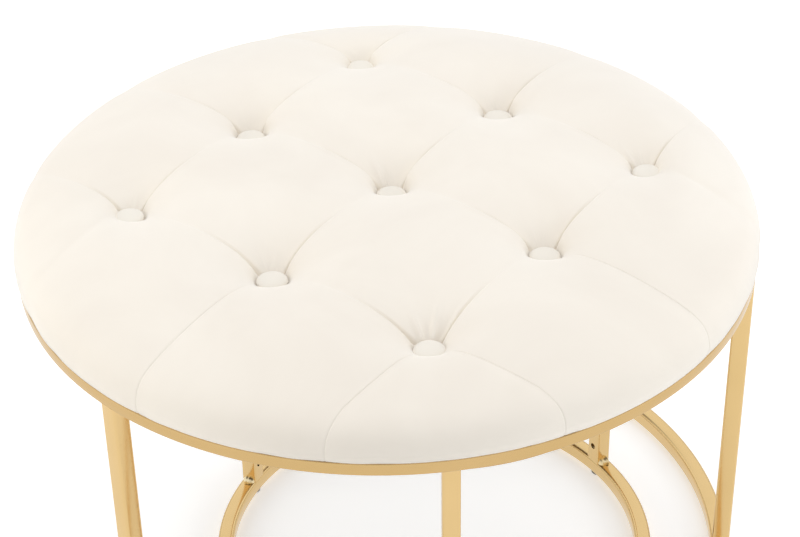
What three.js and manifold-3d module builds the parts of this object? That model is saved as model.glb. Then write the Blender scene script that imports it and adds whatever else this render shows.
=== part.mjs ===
// A nesting pair of round vanity stools: gold square-tube frames and button-tufted velvet seats.
// Millimetres, +Z up. The floor is z = 0 and the origin is under the middle of the large stool.
// Bearings are in degrees from +X towards +Y.

import * as THREE from 'three';
import { mergeVertices } from 'three/addons/utils/BufferGeometryUtils.js';
import Module from 'manifold-3d';

// Frame tube
const TUBE = 16;
const TUBE_WALL = 1.2;
const TUBE_CORNER = 1.6;
const HOLE_SIDES = 12;
const BAND_HEIGHT = 12;
const LEG_COUNT = 3;
const VENT_RADIUS = 2.8;
const VENT_HEIGHT = 19;

// Gaps between pieces that touch
const FIT = 0.3;
const OVERRUN = 2;

// Foot pads under the base rings
const PAD_RADIUS = 6.5;
const PAD_THICKNESS = 2;
const PAD_SIDES = 12;

// Large stool. Its base ring is open between its last leg and its first, so that the small stool
// slides out over the floor.
const LARGE_RADIUS = 330;
const LARGE_LEG_LENGTH = 346;
const LARGE_LEG_BEARING = -133.7;
const LARGE_BUTTONS_PER_SIDE = 3;
const LARGE_BUTTON_SPACING_SHARE = 0.4985;
const LARGE_TUFTING_PLACE = new THREE.Vector2(4.7, 0);
const LARGE_BASE_OPEN = true;
const BASE_END_OVERHANG = 2;
const LARGE_RING_SIDES = 72;

// Small stool, which stands inside the frame of the large one
const SMALL_RADIUS = 214.5;
const SMALL_PLACE = new THREE.Vector2(40, -13.6);
const SMALL_LEG_BEARING = -87;
const SMALL_BUTTONS_PER_SIDE = 2;
const SMALL_BUTTON_SPACING_SHARE = 0.7;
const SMALL_TUFTING_PLACE = new THREE.Vector2(0, 0);
const SMALL_BASE_OPEN = false;
const SMALL_RING_SIDES = 48;
const NESTING_CLEARANCE = 20;

// Cushion, measured from its band
const CUSHION_CREST = 51;
const CUSHION_OVERHANG = 2;
const CUSHION_BEARING = -37.9;
const COVER_THICKNESS = 1.6;
const HEM_WIDTH = 16;
const CREASE_DEPTH = 4;
const CREASE_HALF_WIDTH = 15;
const EDGE_CREASE_DEPTH = 1.2;
const EDGE_POWER = 6.4;
const CROWN_POWER = 4.65;
const TOP_FACE_SHARE = 0.9;
const SIDE_ROW_SHARES = [0.28, 0.62, 1];
const SPAN_SHARES = [0.35, 0.65];
const OUTER_SPAN_SHARES = [0.55, 1];

// Buttons and the ties that hold them down
const BUTTON_RADIUS = 13.4;
const BUTTON_THICKNESS = 6;
const BUTTON_BELOW_CREST = 14.2;
const BUTTON_SIDES = 12;
const TIE_RADIUS = 1;
const TIE_HOLE_RADIUS = 1.8;
const TOGGLE_RADIUS = 7;
const TOGGLE_THICKNESS = 1.6;
const TIE_SIDES = 8;

// Seat board, its welded tabs and screws, and the dust cover
const BOARD_THICKNESS = 9;
const BOARD_EDGE_CLEARANCE = 1;
const TAB_LENGTH = 26;
const TAB_WIDTH = 24;
const TAB_THICKNESS = 2.5;
const TAB_WELD = 1.2;
const SCREW_RADIUS = 2;
const SCREW_HEAD_RADIUS = 4.5;
const SCREW_HEAD_HEIGHT = 2.6;
const SCREW_ENGAGEMENT = 7;
const SCREW_CLEARANCE = 0.5;
const SCREW_SIDES = 10;
const DUST_COVER_THICKNESS = 0.6;
const DUST_COVER_INSET = 2;
const DUST_COVER_RIM = 60;

const gold = { color: 0xe0b878, roughness: 0.28, metalness: 1 };
const velvet = { color: 0xf3ecdf, roughness: 0.85, metalness: 0 };
const foam = { color: 0xe9dfae, roughness: 0.95, metalness: 0 };
const plywood = { color: 0xc9a878, roughness: 0.7, metalness: 0 };
const steel = { color: 0xb8b8ba, roughness: 0.35, metalness: 1 };
const cord = { color: 0xe6e2d8, roughness: 0.8, metalness: 0 };
const liner = { color: 0x26262a, roughness: 0.95, metalness: 0 };
const felt = { color: 0x8f8a80, roughness: 0.95, metalness: 0 };

const wasm = await Module();
wasm.setup();

const radians = THREE.MathUtils.degToRad;

// Solids and cuts

function toSolid(geometry) {
  const bare = geometry.clone();
  bare.deleteAttribute('normal');
  bare.deleteAttribute('uv');
  const merged = mergeVertices(bare);
  const mesh = new wasm.Mesh({
    numProp: 3,
    vertProperties: new Float32Array(merged.attributes.position.array),
    triVerts: new Uint32Array(merged.index.array),
  });
  mesh.merge();
  return new wasm.Manifold(mesh);
}

function toGeometry(solid) {
  const mesh = solid.getMesh();
  const geometry = new THREE.BufferGeometry();
  geometry.setAttribute('position', new THREE.BufferAttribute(mesh.vertProperties, 3));
  geometry.setIndex(new THREE.BufferAttribute(mesh.triVerts, 1));
  geometry.computeVertexNormals();
  return geometry;
}

function cut(geometry, tools) {
  const whole = toSolid(geometry);
  return toGeometry(tools.reduce((rest, tool) => rest.subtract(toSolid(tool)), whole));
}

function join(geometry, additions) {
  const whole = toSolid(geometry);
  return toGeometry(additions.reduce((sum, piece) => sum.add(toSolid(piece)), whole));
}

function addPiece(group, name, geometry, finish) {
  const mesh = new THREE.Mesh(geometry, new THREE.MeshStandardMaterial(finish));
  mesh.name = name;
  group.add(mesh);
  return mesh;
}

// A solid of revolution about +Z, from (radius, height) points in order up the outside
function revolve(points, sides) {
  const profile = points.map(([radius, height]) => new THREE.Vector2(radius, height));
  return new THREE.LatheGeometry(profile, sides).rotateX(Math.PI / 2);
}

function rod(radius, bottom, top, sides) {
  const height = top - bottom;
  const upright = new THREE.CylinderGeometry(radius, radius, height, sides).rotateX(Math.PI / 2);
  return upright.translate(0, 0, bottom + height / 2);
}

// A rectangle with its corners cut, in order anticlockwise
function cutCornerRectangle(left, bottom, width, height, corner) {
  const right = left + width;
  const top = bottom + height;
  return [
    [left + corner, bottom], [right - corner, bottom],
    [right, bottom + corner], [right, top - corner],
    [right - corner, top], [left + corner, top],
    [left, top - corner], [left, bottom + corner],
  ];
}

function outline(points) {
  return new THREE.Shape(points.map(([x, y]) => new THREE.Vector2(x, y)));
}

// Frame

function frameRing(stool, bottom, height) {
  const section = cutCornerRectangle(stool.radius - TUBE, bottom, TUBE, height, TUBE_CORNER);
  return revolve([...section, section[0]], stool.ringSides);
}

// An open base ring ends just past its first and last legs
function baseRing(stool) {
  const ring = frameRing(stool, stool.ringBottom, TUBE);
  if (!stool.baseOpen) return ring;
  const past = (TUBE / 2 + BASE_END_OVERHANG) / (stool.radius - TUBE / 2);
  const start = stool.legBearings[LEG_COUNT - 1] + past;
  const end = stool.legBearings[0] + 2 * Math.PI - past;
  const far = 2 * stool.radius;
  const corners = [start, (start + end) / 2, end].map((bearing) => {
    return [far * Math.cos(bearing), far * Math.sin(bearing)];
  });
  const sector = outline([[0, 0], ...corners]);
  return cut(ring, [new THREE.ExtrudeGeometry(sector, { depth: stool.bandBottom, bevelEnabled: false })]);
}

// A leg stands at the origin with its outward face towards +X. The vent near its foot faces inwards.
function frameLeg(length) {
  const shape = outline(cutCornerRectangle(-TUBE / 2, -TUBE / 2, TUBE, TUBE, TUBE_CORNER));
  const bore = TUBE - 2 * TUBE_WALL;
  shape.holes.push(outline(cutCornerRectangle(-bore / 2, -bore / 2, bore, bore, TUBE_CORNER - TUBE_WALL)));
  const tube = new THREE.ExtrudeGeometry(shape, { depth: length, bevelEnabled: false });
  const vent = new THREE.CylinderGeometry(VENT_RADIUS, VENT_RADIUS, TUBE, HOLE_SIDES);
  vent.rotateZ(Math.PI / 2).translate(-TUBE, 0, VENT_HEIGHT);
  return cut(tube, [vent]);
}

function tabHoleRadius(stool) {
  return stool.radius - TUBE - TAB_LENGTH + SCREW_HEAD_RADIUS + 2 * SCREW_RADIUS;
}

function screwHoles(stool) {
  return stool.tabBearings.map((bearing) => {
    const hole = rod(SCREW_RADIUS + SCREW_CLEARANCE, stool.bandBottom, stool.boardBottom, SCREW_SIDES);
    return hole.translate(tabHoleRadius(stool), 0, 0).rotateZ(bearing);
  });
}

// The top ring carries a welded tab for each screw, midway between two legs
function topRing(stool) {
  const tabs = stool.tabBearings.map((bearing) => {
    const tab = new THREE.BoxGeometry(TAB_LENGTH + TAB_WELD, TAB_WIDTH, TAB_THICKNESS);
    const middle = stool.radius - TUBE - TAB_LENGTH / 2 + TAB_WELD / 2;
    return tab.translate(middle, 0, stool.bandTop - TAB_THICKNESS / 2 - FIT).rotateZ(bearing);
  });
  return cut(join(frameRing(stool, stool.bandBottom, BAND_HEIGHT), tabs), screwHoles(stool));
}

// Cushion

// The lines of the cushion's net along one side of its grid of buttons, from edge to edge, before the
// grid is moved to its place on the seat
function netLines(stool, reach) {
  const rows = stool.buttonLines;
  const outermost = rows[rows.length - 1];
  const inward = stool.spacing - 2 * CREASE_HALF_WIDTH;
  const lines = [];
  rows.forEach((row, index) => {
    lines.push(row);
    if (index === rows.length - 1) return;
    lines.push(row + CREASE_HALF_WIDTH);
    SPAN_SHARES.forEach((share) => lines.push(row + CREASE_HALF_WIDTH + share * inward));
    lines.push(row + stool.spacing - CREASE_HALF_WIDTH);
  });
  const held = outermost + CREASE_HALF_WIDTH;
  const outer = [held, ...OUTER_SPAN_SHARES.map((share) => held + share * (reach - held))];
  return [...outer.map((line) => -line).reverse(), ...lines, ...outer];
}

// Distance from a coordinate to the nearest line of buttons
function distanceToLine(stool, value) {
  return Math.min(...stool.buttonLines.map((line) => Math.abs(value - line)));
}

// How far the cover is pulled down at a place on the grid, as the buttons and creases draw it in
function tuftDepth(stool, across, along, crown) {
  const outermost = stool.buttonLines[stool.buttonLines.length - 1];
  const nearAcross = distanceToLine(stool, across);
  const nearAlong = distanceToLine(stool, along);
  const seat = Math.max(0, Math.hypot(nearAcross, nearAlong) - CREASE_HALF_WIDTH * Math.SQRT2);
  const pull = Math.exp(-seat / (2 * CREASE_HALF_WIDTH));
  const crease = Math.max(0, 1 - Math.min(nearAcross, nearAlong) / CREASE_HALF_WIDTH);
  const beyond = Math.max(0, Math.max(Math.abs(across), Math.abs(along)) - outermost);
  const fade = Math.max(0, 1 - beyond / (stool.radius - outermost));
  const creaseDepth = EDGE_CREASE_DEPTH + (CREASE_DEPTH - EDGE_CREASE_DEPTH) * fade;
  const buttonDepth = crown - stool.tuftFloor;
  return pull * buttonDepth + (1 - pull) * crease * creaseDepth;
}

// A layer of the cushion: a square net drawn out to a round edge, then rows down the side.
// Inset moves the whole layer inwards, and floor is the height where its side ends.
function cushionLayer(stool, inset, floor) {
  const fullRadius = stool.radius + CUSHION_OVERHANG - inset;
  const fullHeight = CUSHION_CREST + BAND_HEIGHT - inset;
  const reach = TOP_FACE_SHARE * (stool.radius + CUSHION_OVERHANG);
  const held = stool.buttonLines[stool.buttonLines.length - 1] + CREASE_HALF_WIDTH;
  const heightAt = (radius) => {
    const share = Math.min(1, radius / fullRadius);
    const sine = share ** (EDGE_POWER / 2);
    return stool.bandBottom + fullHeight * Math.sqrt(1 - sine * sine) ** (2 / CROWN_POWER);
  };
  const radiusAt = (height) => {
    const cosine = ((height - stool.bandBottom) / fullHeight) ** (CROWN_POWER / 2);
    return fullRadius * Math.sqrt(1 - cosine * cosine) ** (2 / EDGE_POWER);
  };
  const lines = netLines(stool, reach);
  const net = lines.map((along) => lines.map((across) => {
    const square = Math.max(Math.abs(across), Math.abs(along));
    const blend = Math.max(0, square - held) / (reach - held);
    const radius = Math.hypot(across, along);
    const drawn = radius === 0 ? 1 : 1 + blend * (square / radius - 1);
    const scale = drawn * (1 - inset / reach * blend);
    const x = across * scale + stool.tufting.x * (1 - blend);
    const y = along * scale + stool.tufting.y * (1 - blend);
    const crown = heightAt(Math.hypot(x, y));
    return new THREE.Vector3(x, y, crown - tuftDepth(stool, across, along, crown + inset));
  }));
  const last = lines.length - 1;
  const edge = [];
  for (let k = 0; k < last; k += 1) edge.push(net[0][k]);
  for (let k = 0; k < last; k += 1) edge.push(net[k][last]);
  for (let k = last; k > 0; k -= 1) edge.push(net[last][k]);
  for (let k = last; k > 0; k -= 1) edge.push(net[k][0]);
  const rows = SIDE_ROW_SHARES.map((share) => edge.map((corner) => {
    const around = Math.hypot(corner.x, corner.y);
    const bearing = Math.atan2(corner.y, corner.x);
    const height = corner.z + share * (floor - corner.z);
    const radius = Math.max(around, radiusAt(height));
    return new THREE.Vector3(radius * Math.cos(bearing), radius * Math.sin(bearing), height);
  }));
  return { net, edge, rows };
}

function ringAt(points, radius, height) {
  return points.map((point) => {
    const bearing = Math.atan2(point.y, point.x);
    return new THREE.Vector3(radius * Math.cos(bearing), radius * Math.sin(bearing), height);
  });
}

// Triangles of a net and the rows below it, facing up and out
function layerFaces(layer, faces) {
  const { net, edge, rows } = layer;
  const last = net.length - 1;
  for (let j = 0; j < last; j += 1) {
    for (let i = 0; i < last; i += 1) {
      faces.push([net[j][i], net[j][i + 1], net[j + 1][i + 1]]);
      faces.push([net[j][i], net[j + 1][i + 1], net[j + 1][i]]);
    }
  }
  [edge, ...rows].slice(0, -1).forEach((upper, index) => joinRows(upper, rows[index], faces));
}

function joinRows(upper, lower, faces) {
  upper.forEach((point, k) => {
    const next = (k + 1) % upper.length;
    faces.push([point, lower[k], lower[next]]);
    faces.push([point, lower[next], upper[next]]);
  });
}

function fromFaces(faces) {
  const positions = new Float32Array(faces.flatMap((face) => face.flatMap((point) => point.toArray())));
  const geometry = new THREE.BufferGeometry();
  geometry.setAttribute('position', new THREE.BufferAttribute(positions, 3));
  geometry.computeVertexNormals();
  return geometry;
}

function tieHoles(stool, bottom, top) {
  return stool.buttonPlaces.map(([across, along]) => {
    return rod(TIE_HOLE_RADIUS, bottom, top, TIE_SIDES).translate(across, along, 0);
  });
}

// The cover is a skin over the foam, turned under the board in a hem
function velvetCover(stool) {
  const outer = cushionLayer(stool, 0, stool.hemBottom);
  const inner = cushionLayer(stool, COVER_THICKNESS, stool.hemBottom + COVER_THICKNESS);
  const hemRadius = stool.radius - HEM_WIDTH;
  outer.rows.push(ringAt(outer.edge, hemRadius, stool.hemBottom));
  inner.rows.push(ringAt(inner.edge, hemRadius, stool.hemBottom + COVER_THICKNESS));
  const faces = [];
  layerFaces(outer, faces);
  const lining = [];
  layerFaces(inner, lining);
  lining.forEach(([a, b, c]) => faces.push([a, c, b]));
  joinRows(outer.rows[outer.rows.length - 1], inner.rows[inner.rows.length - 1], faces);
  return cut(fromFaces(faces), tieHoles(stool, stool.boardTop, stool.crest + OVERRUN));
}

// The foam fills the cover down to the board
function foamPad(stool) {
  const bottom = stool.hemBottom + COVER_THICKNESS + FIT;
  const layer = cushionLayer(stool, COVER_THICKNESS + FIT, bottom);
  const faces = [];
  layerFaces(layer, faces);
  const rim = layer.rows[layer.rows.length - 1];
  const middle = new THREE.Vector3(0, 0, bottom);
  rim.forEach((point, k) => faces.push([point, middle, rim[(k + 1) % rim.length]]));
  const below = rod(stool.radius + TUBE, bottom - OVERRUN, stool.boardTop + FIT, stool.ringSides);
  return cut(fromFaces(faces), [below, ...tieHoles(stool, bottom, stool.crest + OVERRUN)]);
}

// Board and what holds it

function seatBoard(stool) {
  const disc = rod(stool.boardRadius, stool.boardBottom, stool.boardTop, stool.ringSides);
  const pilotTop = stool.boardBottom + SCREW_ENGAGEMENT + FIT;
  const pilots = stool.tabBearings.map((bearing) => {
    const pilot = rod(SCREW_RADIUS + FIT, stool.boardBottom - OVERRUN, pilotTop, SCREW_SIDES);
    return pilot.translate(tabHoleRadius(stool), 0, 0).rotateZ(bearing);
  });
  const holes = tieHoles(stool, stool.boardBottom - OVERRUN, stool.boardTop + OVERRUN);
  const turned = holes.map((hole) => hole.rotateZ(radians(CUSHION_BEARING)));
  return cut(disc, [...turned, ...pilots]);
}

function boardScrew(stool) {
  const underTab = stool.bandTop - TAB_THICKNESS - 2 * FIT;
  return revolve([
    [0, underTab - SCREW_HEAD_HEIGHT],
    [SCREW_HEAD_RADIUS - SCREW_HEAD_HEIGHT / 2, underTab - SCREW_HEAD_HEIGHT],
    [SCREW_HEAD_RADIUS, underTab - SCREW_HEAD_HEIGHT / 2],
    [SCREW_HEAD_RADIUS, underTab],
    [SCREW_RADIUS, underTab],
    [SCREW_RADIUS, stool.boardBottom + SCREW_ENGAGEMENT - 2 * SCREW_RADIUS],
    [0, stool.boardBottom + SCREW_ENGAGEMENT],
  ], SCREW_SIDES);
}

// A thin lining that hangs just below the ties' toggles, with its rim drawn up to the board inside
// the hem. The screws go through it.
function dustCover(stool) {
  const top = stool.boardBottom - FIT;
  const sag = TOGGLE_THICKNESS + FIT;
  const radius = stool.radius - HEM_WIDTH - DUST_COVER_INSET;
  const lining = revolve([
    [0, top - sag - DUST_COVER_THICKNESS],
    [radius - DUST_COVER_RIM, top - sag - DUST_COVER_THICKNESS],
    [radius, top - DUST_COVER_THICKNESS],
    [radius, top],
    [radius - DUST_COVER_THICKNESS, top],
    [radius - DUST_COVER_RIM, top - sag],
    [0, top - sag],
  ], stool.ringSides / 2);
  return cut(lining, screwHoles(stool));
}

// Buttons

function coveredButton(stool) {
  const bottom = stool.tuftFloor + FIT;
  const top = bottom + BUTTON_THICKNESS;
  const rim = BUTTON_THICKNESS / 3;
  return revolve([
    [0, bottom],
    [BUTTON_RADIUS - rim, bottom],
    [BUTTON_RADIUS, bottom + rim],
    [BUTTON_RADIUS - rim / 2, bottom + 2 * rim],
    [BUTTON_RADIUS / 2, top - rim / 4],
    [0, top],
  ], BUTTON_SIDES);
}

// A cord from the underside of the button to a flat toggle under the board
function buttonTie(stool) {
  const toggleTop = stool.boardBottom - FIT / 2;
  return revolve([
    [0, toggleTop - TOGGLE_THICKNESS],
    [TOGGLE_RADIUS, toggleTop - TOGGLE_THICKNESS],
    [TOGGLE_RADIUS, toggleTop],
    [TIE_RADIUS, toggleTop],
    [TIE_RADIUS, stool.tuftFloor],
    [0, stool.tuftFloor],
  ], TIE_SIDES);
}

// Sizes of one stool that follow from its own few dimensions

function plan(name, radius, legLength, legBearing, baseOpen, buttonsPerSide, spacingShare, place, ringSides) {
  const ringBottom = PAD_THICKNESS + FIT;
  const ringTop = ringBottom + TUBE;
  const bandBottom = ringTop + FIT + legLength + FIT;
  const bandTop = bandBottom + BAND_HEIGHT;
  const hemBottom = bandTop + FIT;
  const boardBottom = hemBottom + COVER_THICKNESS + FIT;
  const crest = bandTop + CUSHION_CREST;
  const step = 2 * Math.PI / LEG_COUNT;
  const bearings = Array.from({ length: LEG_COUNT }, (_, k) => radians(legBearing) + k * step);
  const spacing = spacingShare * radius;
  const tufting = place.clone().rotateAround(new THREE.Vector2(), -radians(CUSHION_BEARING));
  const middle = (buttonsPerSide - 1) / 2;
  const buttonLines = Array.from({ length: buttonsPerSide }, (_, k) => (k - middle) * spacing);
  return {
    name, radius, legLength, baseOpen, spacing, tufting, ringSides, ringBottom, ringTop,
    bandBottom, bandTop, hemBottom, boardBottom, crest, buttonLines,
    boardTop: boardBottom + BOARD_THICKNESS,
    boardRadius: radius - COVER_THICKNESS - BOARD_EDGE_CLEARANCE,
    tuftFloor: crest - BUTTON_BELOW_CREST - BUTTON_THICKNESS - FIT,
    legBearings: bearings,
    tabBearings: bearings.map((bearing) => bearing + step / 2),
    buttonPlaces: buttonLines.flatMap((along) => {
      return buttonLines.map((across) => [across + tufting.x, along + tufting.y]);
    }),
  };
}

function makeStool(stool) {
  const group = new THREE.Group();
  const named = (piece) => `${stool.name}_${piece}`;
  addPiece(group, named('base_ring'), baseRing(stool), gold);
  addPiece(group, named('top_ring'), topRing(stool), gold);
  stool.legBearings.forEach((bearing, k) => {
    const leg = addPiece(group, named(`leg_${k + 1}`), frameLeg(stool.legLength), gold);
    const reach = stool.radius - TUBE / 2;
    leg.position.set(reach * Math.cos(bearing), reach * Math.sin(bearing), stool.ringTop + FIT);
    leg.rotation.z = bearing;
    const disc = rod(PAD_RADIUS, 0, PAD_THICKNESS, PAD_SIDES);
    const pad = addPiece(group, named(`foot_pad_${k + 1}`), disc, felt);
    pad.position.set(reach * Math.cos(bearing), reach * Math.sin(bearing), 0);
  });
  addPiece(group, named('seat_board'), seatBoard(stool), plywood);
  addPiece(group, named('dust_cover'), dustCover(stool), liner);
  stool.tabBearings.forEach((bearing, k) => {
    const screw = addPiece(group, named(`board_screw_${k + 1}`), boardScrew(stool), steel);
    const reach = tabHoleRadius(stool);
    screw.position.set(reach * Math.cos(bearing), reach * Math.sin(bearing), 0);
  });
  const cushion = new THREE.Group();
  cushion.rotation.z = radians(CUSHION_BEARING);
  group.add(cushion);
  addPiece(cushion, named('foam_pad'), foamPad(stool), foam);
  addPiece(cushion, named('velvet_cover'), velvetCover(stool), velvet);
  stool.buttonPlaces.forEach(([across, along], k) => {
    const button = addPiece(cushion, named(`button_${k + 1}`), coveredButton(stool), velvet);
    const tie = addPiece(cushion, named(`button_tie_${k + 1}`), buttonTie(stool), cord);
    button.position.set(across, along, 0);
    tie.position.set(across, along, 0);
  });
  return group;
}

const large = plan('large', LARGE_RADIUS, LARGE_LEG_LENGTH, LARGE_LEG_BEARING, LARGE_BASE_OPEN,
  LARGE_BUTTONS_PER_SIDE, LARGE_BUTTON_SPACING_SHARE, LARGE_TUFTING_PLACE, LARGE_RING_SIDES);

// The small stool is as tall as the space under the large seat lets it be
const heightAboveLeg = FIT + BAND_HEIGHT + CUSHION_CREST;
const smallLegLength = large.bandBottom - NESTING_CLEARANCE - heightAboveLeg - large.ringTop - FIT;
const small = plan('small', SMALL_RADIUS, smallLegLength, SMALL_LEG_BEARING, SMALL_BASE_OPEN,
  SMALL_BUTTONS_PER_SIDE, SMALL_BUTTON_SPACING_SHARE, SMALL_TUFTING_PLACE, SMALL_RING_SIDES);

const pair = new THREE.Group();
const largeStool = makeStool(large);
const smallStool = makeStool(small);
smallStool.position.set(SMALL_PLACE.x, SMALL_PLACE.y, 0);
pair.add(largeStool, smallStool);

export default pair;
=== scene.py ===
"""A nesting pair of round vanity stools: tufted ivory velvet seats on gold square-tube frames."""

import math
import random

import bmesh
import bpy
import numpy as np
from mathutils import Matrix, Vector, noise


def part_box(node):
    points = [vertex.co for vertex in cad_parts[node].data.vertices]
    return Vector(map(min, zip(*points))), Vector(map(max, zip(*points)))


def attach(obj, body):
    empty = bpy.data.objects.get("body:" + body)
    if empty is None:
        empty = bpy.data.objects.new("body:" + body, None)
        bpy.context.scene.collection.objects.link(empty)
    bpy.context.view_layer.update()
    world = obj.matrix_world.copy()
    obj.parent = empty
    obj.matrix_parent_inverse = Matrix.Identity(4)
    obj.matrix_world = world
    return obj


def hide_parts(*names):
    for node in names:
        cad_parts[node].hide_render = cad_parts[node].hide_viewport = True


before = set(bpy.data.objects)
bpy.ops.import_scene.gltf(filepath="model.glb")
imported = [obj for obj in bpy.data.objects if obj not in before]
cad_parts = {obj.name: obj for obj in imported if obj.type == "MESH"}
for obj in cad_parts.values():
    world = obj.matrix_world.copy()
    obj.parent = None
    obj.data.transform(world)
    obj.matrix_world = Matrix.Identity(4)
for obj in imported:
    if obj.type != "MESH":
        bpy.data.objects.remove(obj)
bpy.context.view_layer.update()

MM = 0.001

# Sizes that the frame's own corner points don't give
TUBE = 16 * MM
TUBE_CORNER = 2 * MM
BASE_CORNER = 3.5 * MM
BAND_CORNER = 1.2 * MM
TUBE_WALL = 1.2 * MM
BAND_HEIGHT = 12 * MM
VENT_RADIUS = 3.2 * MM
VENT_HEIGHT = 19 * MM
BUTTON_RADIUS = 13.4 * MM
BASE_END_OVERHANG = 2 * MM
CUSHION_TURN = math.radians(-37.9)
COVER_THICKNESS = 1.6 * MM
HEM_WIDTH = 16 * MM
HEM_TUCK = 1.9 * MM
CUSHION_OVERHANG = 2 * MM
CUSHION_CREST = 51 * MM
EDGE_POWER = 6.4
CROWN_POWER = 4.65
TUFT_DROP = 0.3 * MM


def measured(node):
    """The middle of one of the frame's nodes in plan, half its width, its bottom and its top."""
    low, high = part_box(node)
    middle = Vector(((low[0] + high[0]) / 2, (low[1] + high[1]) / 2, 0))
    return middle, (high[0] - low[0]) / 2, low[2], high[2]


class Stool:
    """The sizes of one stool, read from its own nodes in the frame."""

    def __init__(self, name, leg_bearing, lines, spacing_share, base_open):
        self.name = name
        self.body = name + "_stool"
        self.ring_bottom, self.ring_top = measured(name + "_base_ring")[2:]
        self.middle, self.radius, self.band_bottom = measured(name + "_top_ring")[:3]
        self.tube_radius = self.radius - TUBE / 2
        self.band_top = self.band_bottom + BAND_HEIGHT
        self.board_radius = measured(name + "_seat_board")[1]
        self.board_top = measured(name + "_seat_board")[3]
        self.leg_bottom = measured(name + "_leg_1")[2]
        self.tuft_floor = measured(name + "_button_1")[2] - TUFT_DROP
        self.hem_bottom = measured(name + "_velvet_cover")[2]
        self.leg_bearings = [math.radians(leg_bearing + 120 * k) for k in range(3)]
        self.spacing = spacing_share * self.radius
        self.button_lines = [(k - (lines - 1) / 2) * self.spacing for k in range(lines)]
        self.base_open = base_open
        places = [measured(name + "_button_" + str(k + 1))[0] for k in range(lines * lines)]
        tufting = sum(places, Vector()) / len(places) - self.middle
        self.tufting = Matrix.Rotation(-CUSHION_TURN, 3, "Z") @ tufting

    def turned(self, bearing):
        """The move from the middle of the frame to this stool, turned to a bearing."""
        return Matrix.Translation(self.middle) @ Matrix.Rotation(bearing, 4, "Z")


LARGE = Stool("large", -133.7, 3, 0.4985, True)
SMALL = Stool("small", -87, 2, 0.7, False)
STOOLS = [LARGE, SMALL]


def add_object(name, data):
    item = bpy.data.objects.new(name, data)
    bpy.context.collection.objects.link(item)
    return item


# Camera

CAMERA_PLACE = Vector((11.1, -1559.8, 1416.8)) * MM
CAMERA_PITCH = math.radians(34.853)
CAMERA_ROLL = math.radians(-1.042)
CAMERA_LENS = 93.75


def add_camera():
    data = bpy.data.cameras.new("camera")
    data.sensor_width = 36
    data.lens = CAMERA_LENS
    camera = add_object("camera", data)
    turn = Matrix.Rotation(math.pi / 2 - CAMERA_PITCH, 4, "X") @ Matrix.Rotation(CAMERA_ROLL, 4, "Z")
    camera.matrix_world = Matrix.Translation(CAMERA_PLACE) @ turn
    bpy.context.scene.camera = camera


# Material helpers

def new_material(name, colour, roughness, metallic=0.0):
    material = bpy.data.materials.new(name)
    material.use_nodes = True
    shader = material.node_tree.nodes["Principled BSDF"]
    shader.inputs["Base Color"].default_value = (*colour, 1)
    shader.inputs["Roughness"].default_value = roughness
    shader.inputs["Metallic"].default_value = metallic
    return material, shader


def new_node(tree, kind, **values):
    """A shader node, with values for its inputs."""
    node = tree.nodes.new("ShaderNode" + kind)
    for name, value in values.items():
        node.inputs[name].default_value = value
    return node


def place_texture(tree, kind, scale, **settings):
    """What a texture gives at each place on the object, in metres times scale."""
    where = new_node(tree, "TexCoord")
    texture = new_node(tree, kind, Scale=scale, **settings)
    tree.links.new(where.outputs["Object"], texture.inputs["Vector"])
    return texture.outputs["Distance" if kind == "TexVoronoi" else "Fac"]


def ramp(tree, source, stops):
    node = new_node(tree, "ValToRGB")
    node.color_ramp.elements[0].position = stops[0][0]
    node.color_ramp.elements[0].color = (*stops[0][1], 1)
    node.color_ramp.elements[1].position = stops[-1][0]
    node.color_ramp.elements[1].color = (*stops[-1][1], 1)
    for position, colour in stops[1:-1]:
        node.color_ramp.elements.new(position).color = (*colour, 1)
    tree.links.new(source, node.inputs["Fac"])
    return node.outputs["Color"]


def spread(tree, source, low, high):
    """The source, which runs from 0 to 1, drawn out to run from low to high."""
    node = new_node(tree, "MapRange")
    node.inputs["To Min"].default_value = low
    node.inputs["To Max"].default_value = high
    tree.links.new(source, node.inputs["Value"])
    return node.outputs["Result"]


def tint(tree, shader, source, *stops):
    tree.links.new(ramp(tree, source, stops), shader.inputs["Base Color"])


def roughen(tree, shader, source, low, high):
    tree.links.new(spread(tree, source, low, high), shader.inputs["Roughness"])


def bump(tree, shader, heights):
    """Adds bumps to a shader, from (height, strength, distance in metres) one after another."""
    last = None
    for height, strength, distance in heights:
        node = new_node(tree, "Bump", Strength=strength, Distance=distance)
        tree.links.new(height, node.inputs["Height"])
        if last is not None:
            tree.links.new(last, node.inputs["Normal"])
        last = node.outputs["Normal"]
    tree.links.new(last, shader.inputs["Normal"])


# Materials

def gold_material(name, pale, deep, rough=(0.11, 0.2)):
    material, shader = new_material(name, pale, 0.2, 1.0)
    tree = material.node_tree
    cloud = place_texture(tree, "TexNoise", 9, Detail=3, Roughness=0.5)
    tint(tree, shader, cloud, (0.3, deep), (0.7, pale))
    wipe = place_texture(tree, "TexNoise", 60, Detail=6, Roughness=0.6)
    roughen(tree, shader, wipe, *rough)
    ripple = place_texture(tree, "TexNoise", 38, Detail=1, Roughness=0.4)
    grain = place_texture(tree, "TexNoise", 900, Detail=2, Roughness=0.5)
    bump(tree, shader, [(ripple, 0.12, 0.4 * MM), (grain, 0.05, 0.02 * MM)])
    return material


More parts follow.
